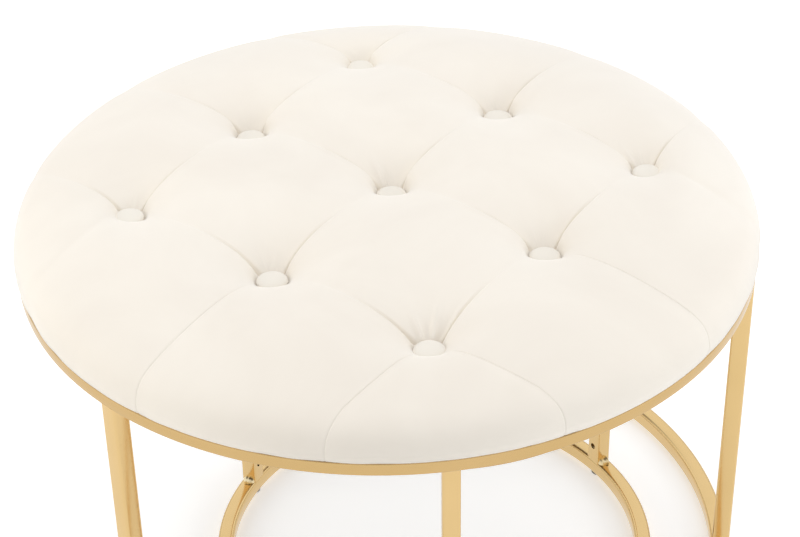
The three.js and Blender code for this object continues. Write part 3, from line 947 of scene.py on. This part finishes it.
def simulate_swell(stool):
    """Moves of the loose net's points as the stuffed cover settles, and the net's lines."""
    top, side, lines, loop = cushion_rows(
        stool, LOOSE_STEPS, LOOSE_SIDE_ROWS, SWELL_ALLOWANCE, False)
    vertices, faces = closed_cushion(stool, top, side, loop)
    piece = add_mesh(stool.name + "_loose", vertices, faces, None)
    held = piece.vertex_groups.new(name="held")
    across, along = np.meshgrid(lines, lines)
    near_x = np.abs(to_nearest_line(stool, across)[0])
    near_y = np.abs(to_nearest_line(stool, along)[0])
    at_button = (np.hypot(near_x, near_y) < HELD_RADIUS).reshape(-1)
    on_crease = (np.minimum(near_x, near_y) < HELD_CREASE).reshape(-1)
    top_count = top.shape[0] ** 2
    for v in range(len(vertices)):
        if v < top_count:
            weight = 1.0 if at_button[v] else CREASE_HOLD if on_crease[v] else 0.0
        else:
            row = (v - top_count) // side.shape[1]
            weight = 1.0 if row >= LOOSE_SIDE_ROWS - 1 else 0.0
        if weight:
            held.add([v], weight, "REPLACE")
    modifier = piece.modifiers.new("cloth", "CLOTH")
    cloth = modifier.settings
    for key, value in CLOTH.items():
        setattr(cloth, key, value)
    cloth.effector_weights.gravity = 0
    modifier.collision_settings.use_collision = False
    scene = bpy.context.scene
    modifier.point_cache.frame_start = 1
    modifier.point_cache.frame_end = SIM_FRAMES
    for step in range(1, SIM_FRAMES + 1):
        scene.frame_set(step)
    graph = bpy.context.evaluated_depsgraph_get()
    settled = piece.evaluated_get(graph).data
    points = np.empty(len(settled.vertices) * 3)
    settled.vertices.foreach_get("co", points)
    scene.frame_set(1)
    bpy.data.objects.remove(piece)
    moves = points.reshape(-1, 3) - vertices
    size = np.linalg.norm(moves, axis=1, keepdims=True)
    moves = moves * np.minimum(1, SWELL_CAP / np.maximum(size, 1e-9))
    return lines, moves[:top_count].reshape(top.shape)


def resample(old, values, new):
    """Values at new places along the first axis, from a smooth curve through the old ones."""
    slopes = np.gradient(values, old, axis=0)
    k = np.clip(np.searchsorted(old, new, side="right") - 1, 0, len(old) - 2)
    shape = (-1,) + (1,) * (values.ndim - 1)
    gap = (old[k + 1] - old[k]).reshape(shape)
    t = ((new - old[k]) / (old[k + 1] - old[k])).reshape(shape)
    return ((2 * t ** 3 - 3 * t ** 2 + 1) * values[k] + (t ** 3 - 2 * t ** 2 + t) * gap * slopes[k]
            + (3 * t ** 2 - 2 * t ** 3) * values[k + 1] + (t ** 3 - t ** 2) * gap * slopes[k + 1])


def add_swell(stool, top, lines):
    """Adds the simulated moves to the fine net, less and less towards its rim."""
    loose_lines, moves = simulate_swell(stool)
    moves = resample(loose_lines, moves, lines)
    moves = resample(loose_lines, moves.transpose(1, 0, 2), lines).transpose(1, 0, 2)
    across, along = np.meshgrid(lines, lines)
    held = stool.button_lines[-1] + HELD_RADIUS
    blend = np.maximum(0, np.maximum(np.abs(across), np.abs(along)) - held) / (lines[-1] - held)
    fade = smooth_step((blend - SWELL_FADE_START) / (1 - SWELL_FADE_START))
    return top + moves * (1 - fade)[..., None]


def add_cushion(stool, material):
    fine = stool.name == "large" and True
    steps = FINE_STEPS if fine else PLAIN_STEPS
    shrink = SWELL_ALLOWANCE
    top, side, lines, loop = cushion_rows(stool, steps, FINE_SIDE_ROWS, shrink, True)
    top = add_swell(stool, top, lines)
    vertices, faces = closed_cushion(stool, top, side, loop)
    cushion = add_mesh(stool.name + "_cushion", vertices, faces, material)
    cushion.data.transform(stool.turned(CUSHION_TURN))
    finish_piece(cushion, stool.body, "velvet",
                 stool.name + "_velvet_cover", stool.name + "_foam_pad")
    return cushion


# Covered buttons

BUTTON_SIDES = 48
BUTTON_GATHERS = 14
GATHER_DEPTH = 0.012
GATHER_LEVEL = 0.35
GATHER_SPREAD = 0.25
RIPPLE_DEPTH = 0.01

# Half of a button's outline, as shares of its radius and of its thickness
BUTTON_OUTLINE = [
    (0.6, 0.0), (0.85, 0.06), (0.96, 0.2), (1.0, 0.4), (0.985, 0.56), (0.94, 0.7),
    (0.86, 0.81), (0.72, 0.9), (0.5, 0.965), (0.25, 0.993),
]


def add_button(stool, number, material):
    """A domed button whose cloth is gathered round its rim."""
    node = stool.name + "_button_" + str(number)
    middle, _, bottom, top = measured(node)
    thickness = top - bottom
    rings = []
    for across, up in BUTTON_OUTLINE:
        gathered = GATHER_DEPTH * math.exp(-((up - GATHER_LEVEL) / GATHER_SPREAD) ** 2)
        ring = []
        for angle in angles_round(BUTTON_SIDES):
            gather = gathered * math.sin(BUTTON_GATHERS * angle + number)
            ripple = RIPPLE_DEPTH * noise.noise(polar(2, angle, number + up))
            radius = BUTTON_RADIUS * (across + gather + ripple * across)
            ring.append(middle + polar(radius, angle, bottom + up * thickness))
        rings.append(ring)
    vertices, rows = numbered(rings)
    faces = join_rows(rows)
    for row, height in ((rows[0], bottom), (rows[-1], top)):
        faces += fan(row, len(vertices))
        vertices.append(middle + Vector((0, 0, height)))
    button = add_mesh(node + "_dome", vertices, faces, material)
    finish_piece(button, stool.body, "velvet", node)
    return button


# Dust cover under the board

LINING_THICKNESS = 0.6 * MM
LINING_RIM = 60 * MM
LINING_RINGS = 26
LINING_SIDES = 96
LINING_WAVE = 0.25 * MM
LINING_WAVE_SCALE = 22
LINING_WAVE_SHARE = 0.6
RUFFLES = 24
RUFFLE_REACH = 10 * MM


def add_dust_cover(stool, material):
    node = stool.name + "_dust_cover"
    _, radius, bottom, top = measured(node)
    sag = top - bottom - LINING_THICKNESS
    rings = []
    for layer in (0, 1):
        for step in range(1, LINING_RINGS + 1):
            out = radius * step / LINING_RINGS
            free = min(1.0, (radius - out) / LINING_RIM)
            ruffled = LINING_WAVE * math.exp(-(radius - out) / RUFFLE_REACH)
            ring = []
            for angle in angles_round(LINING_SIDES):
                ruffle = ruffled * math.sin(RUFFLES * angle)
                wave = LINING_WAVE * noise.noise(polar(out, angle, 1) * LINING_WAVE_SCALE)
                height = top - sag * free - layer * LINING_THICKNESS
                height += (ruffle + wave) * free * LINING_WAVE_SHARE
                ring.append(stool.middle + polar(out, angle, height))
            rings.append(ring)
        # The last ring of each layer is its middle point
        rings.append([stool.middle + Vector((0, 0, top - sag - layer * LINING_THICKNESS))])
    vertices, rows = numbered(rings)
    upper, lower = rows[:LINING_RINGS + 1], rows[LINING_RINGS + 1:]
    faces = []
    for layer in (upper, lower):
        faces += join_rows(layer[:-1]) + fan(layer[0], layer[-1][0])
    faces += join_rows([upper[-2], lower[-2]])
    cover = add_mesh(node + "_cloth", vertices, faces, material)
    finish_piece(cover, stool.body, "lining", node)
    return cover


# Staples along the rim of the dust cover

STAPLE_COUNT = 40
STAPLE_LENGTH = 9 * MM
STAPLE_WIRE = 0.45 * MM
STAPLE_INSET = 4 * MM
STAPLE_DROP = 0.75 * MM
BOX_FACES = [(0, 1, 2, 3), (7, 6, 5, 4), (0, 4, 5, 1), (1, 5, 6, 2), (2, 6, 7, 3), (3, 7, 4, 0)]


def add_staples(stool, material):
    _, rim, _, high = measured(stool.name + "_dust_cover")
    top = high - STAPLE_DROP
    dice = random.Random(31)
    parts = []
    for k in range(STAPLE_COUNT):
        angle = 2 * math.pi * (k + dice.uniform(-0.2, 0.2)) / STAPLE_COUNT
        place = stool.middle + polar(rim - STAPLE_INSET, angle, 0)
        heading = angle + math.pi / 2 + dice.uniform(-0.25, 0.25)
        along = polar(1, heading, 0) * STAPLE_LENGTH / 2
        across = Vector((-math.sin(heading), math.cos(heading), 0)) * STAPLE_WIRE
        corners = []
        for height in (top, top - 2 * STAPLE_WIRE):
            for a, b in ((-1, -1), (1, -1), (1, 1), (-1, 1)):
                corners.append(place + along * a + across * b + Vector((0, 0, height)))
        parts.append((corners, BOX_FACES))
    staples = join_meshes(stool.name + "_staples", parts, material, smooth=False)
    finish_piece(staples, stool.body, "steel")


# Materials on the pieces that stay as the frame has them

MADE_OF = {"seat_board": "plywood", "board_screw": "steel", "button_tie": "cord", "foot_pad": "pad"}


def dress_frame_nodes(materials):
    for name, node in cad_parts.items():
        for word, chosen in MADE_OF.items():
            if word in name:
                node.data.materials.clear()
                node.data.materials.append(materials[chosen])


# Stage, lights and world

FLOOR_HALF = 9.0
FLOOR_GLOW = 0.42
EVEN_FLOOR_SHARE = 0.65
EVEN_FLOOR_GLOW = 1.09


def scaled(tree, source, factor):
    node = new_node(tree, "Math")
    node.operation = "MULTIPLY"
    node.inputs[1].default_value = factor
    tree.links.new(source, node.inputs[0])
    return node.outputs["Value"]


def mixed(tree, share, first, second):
    """A mix of two shaders, with so much of the second one."""
    mix = new_node(tree, "MixShader")
    tree.links.new(share, mix.inputs["Fac"])
    tree.links.new(first, mix.inputs[1])
    tree.links.new(second, mix.inputs[2])
    return mix.outputs["Shader"]


def add_floor():
    mesh = bpy.data.meshes.new("floor")
    corners = [(x * FLOOR_HALF, y * FLOOR_HALF, 0) for x, y in ((-1, -1), (1, -1), (1, 1), (-1, 1))]
    mesh.from_pydata(corners, [], [(0, 1, 2, 3)])
    floor = add_object("floor", mesh)
    material, shader = new_material("floor", (0.93, 0.93, 0.925), 0.9)
    tree = material.node_tree
    light_path = new_node(tree, "LightPath")
    glow = new_node(tree, "Emission")
    seen = scaled(tree, light_path.outputs["Is Camera Ray"], FLOOR_GLOW)
    tree.links.new(seen, glow.inputs["Strength"])
    total = new_node(tree, "AddShader")
    tree.links.new(shader.outputs["BSDF"], total.inputs[0])
    tree.links.new(glow.outputs["Emission"], total.inputs[1])
    # Polished metal mirrors mostly an even floor, so the shade under the seats doesn't dull it
    even = new_node(tree, "Emission", Color=(1.0, 0.985, 0.95, 1), Strength=EVEN_FLOOR_GLOW)
    share = scaled(tree, light_path.outputs["Is Glossy Ray"], EVEN_FLOOR_SHARE)
    surface = mixed(tree, share, total.outputs["Shader"], even.outputs["Emission"])
    output = next(node for node in tree.nodes if node.type == "OUTPUT_MATERIAL")
    tree.links.new(surface, output.inputs["Surface"])
    mesh.materials.append(material)


def add_area_light(name, place, target, size, power, colour):
    data = bpy.data.lights.new(name, "AREA")
    data.shape = "RECTANGLE"
    data.size = size[0]
    data.size_y = size[1]
    data.energy = power
    data.color = colour
    light = add_object(name, data)
    light.visible_glossy = False
    light.location = place
    light.rotation_euler = (Vector(target) - Vector(place)).to_track_quat("-Z", "Y").to_euler()


def add_lights():
    add_area_light("top_light", (-0.2, 0.4, 2.8), (0, 0, 0.4), (2.4, 2.0), 20, (0.97, 0.97, 1.0))
    side_target = (0, 0, 0.35)
    warm, cool = (1.0, 0.94, 0.82), (0.97, 0.98, 1.0)
    add_area_light("left_light", (-2.5, -0.45, 0.85), side_target, (1.4, 1.8), 16.5, warm)
    add_area_light("right_light", (2.5, -0.45, 0.85), side_target, (1.4, 1.6), 17.5, cool)


def set_world():
    world = bpy.data.worlds.new("studio")
    bpy.context.scene.world = world
    world.use_nodes = True
    tree = world.node_tree
    background = tree.nodes["Background"]
    background.inputs["Color"].default_value = (0.98, 0.985, 1.0, 1)
    background.inputs["Strength"].default_value = 0.77
    backdrop = new_node(tree, "Background", Color=(1, 1, 1, 1), Strength=1.0)
    # What polished metal mirrors: white panels with darker gaps between them, by height
    panels = new_node(tree, "Background")
    direction = new_node(tree, "TexCoord")
    height = new_node(tree, "SeparateXYZ")
    tree.links.new(direction.outputs["Generated"], height.inputs["Vector"])
    levels = [(0.0, 0.55), (0.1, 0.9), (0.22, 0.95), (0.26, 0.3), (0.31, 0.3), (0.35, 1.0),
              (0.73, 1.0), (0.8, 0.22)]
    stops = [(place, (level, level, level)) for place, level in levels]
    colour = ramp(tree, height.outputs["Z"], stops)
    tree.links.new(colour, panels.inputs["Color"])
    light_path = new_node(tree, "LightPath")
    output = next(node for node in tree.nodes if node.type == "OUTPUT_WORLD")
    surface = background.outputs[0]
    for ray, chosen in (("Is Glossy Ray", panels), ("Is Camera Ray", backdrop)):
        surface = mixed(tree, light_path.outputs[ray], surface, chosen.outputs[0])
    tree.links.new(surface, output.inputs["Surface"])
    bpy.context.scene.view_settings.view_transform = "Standard"


def main():
    add_camera()
    set_world()
    add_lights()
    add_floor()
    gold = gold_material("gold_plating", (0.82, 0.59, 0.29), (0.765, 0.545, 0.255))
    # Painted shade: the top ring takes a darker copy of the same gold plating, not a plating of its
    # own
    painted_shade_gold = gold_material("band_painted_shade_plating", (0.68, 0.47, 0.22), (0.64, 0.44, 0.195))
    # Painted highlight: the weld beads take a paler, rougher copy of the same gold plating; the
    # paleness is painted light
    painted_highlight_gold = gold_material("weld_plating", (1.0, 0.87, 0.6), (0.95, 0.78, 0.45), (0.3, 0.45))
    velvet = velvet_material("ivory_velvet", (0.875, 0.82, 0.73), (0.835, 0.775, 0.685))
    button_velvet = velvet_material("button_velvet", (0.865, 0.825, 0.74), (0.835, 0.79, 0.705))
    materials = {
        "plywood": plywood_material(),
        "steel": steel_material(),
        "cord": cord_material(),
        "lining": lining_material(),
        "pad": pad_material(),
    }
    dress_frame_nodes(materials)
    for stool in STOOLS:
        add_frame(stool, gold, painted_shade_gold, painted_highlight_gold)
        add_cushion(stool, velvet)
        for number in range(1, len(stool.button_lines) ** 2 + 1):
            add_button(stool, number, button_velvet)
        add_dust_cover(stool, materials["lining"])
        add_staples(stool, materials["steel"])


main()
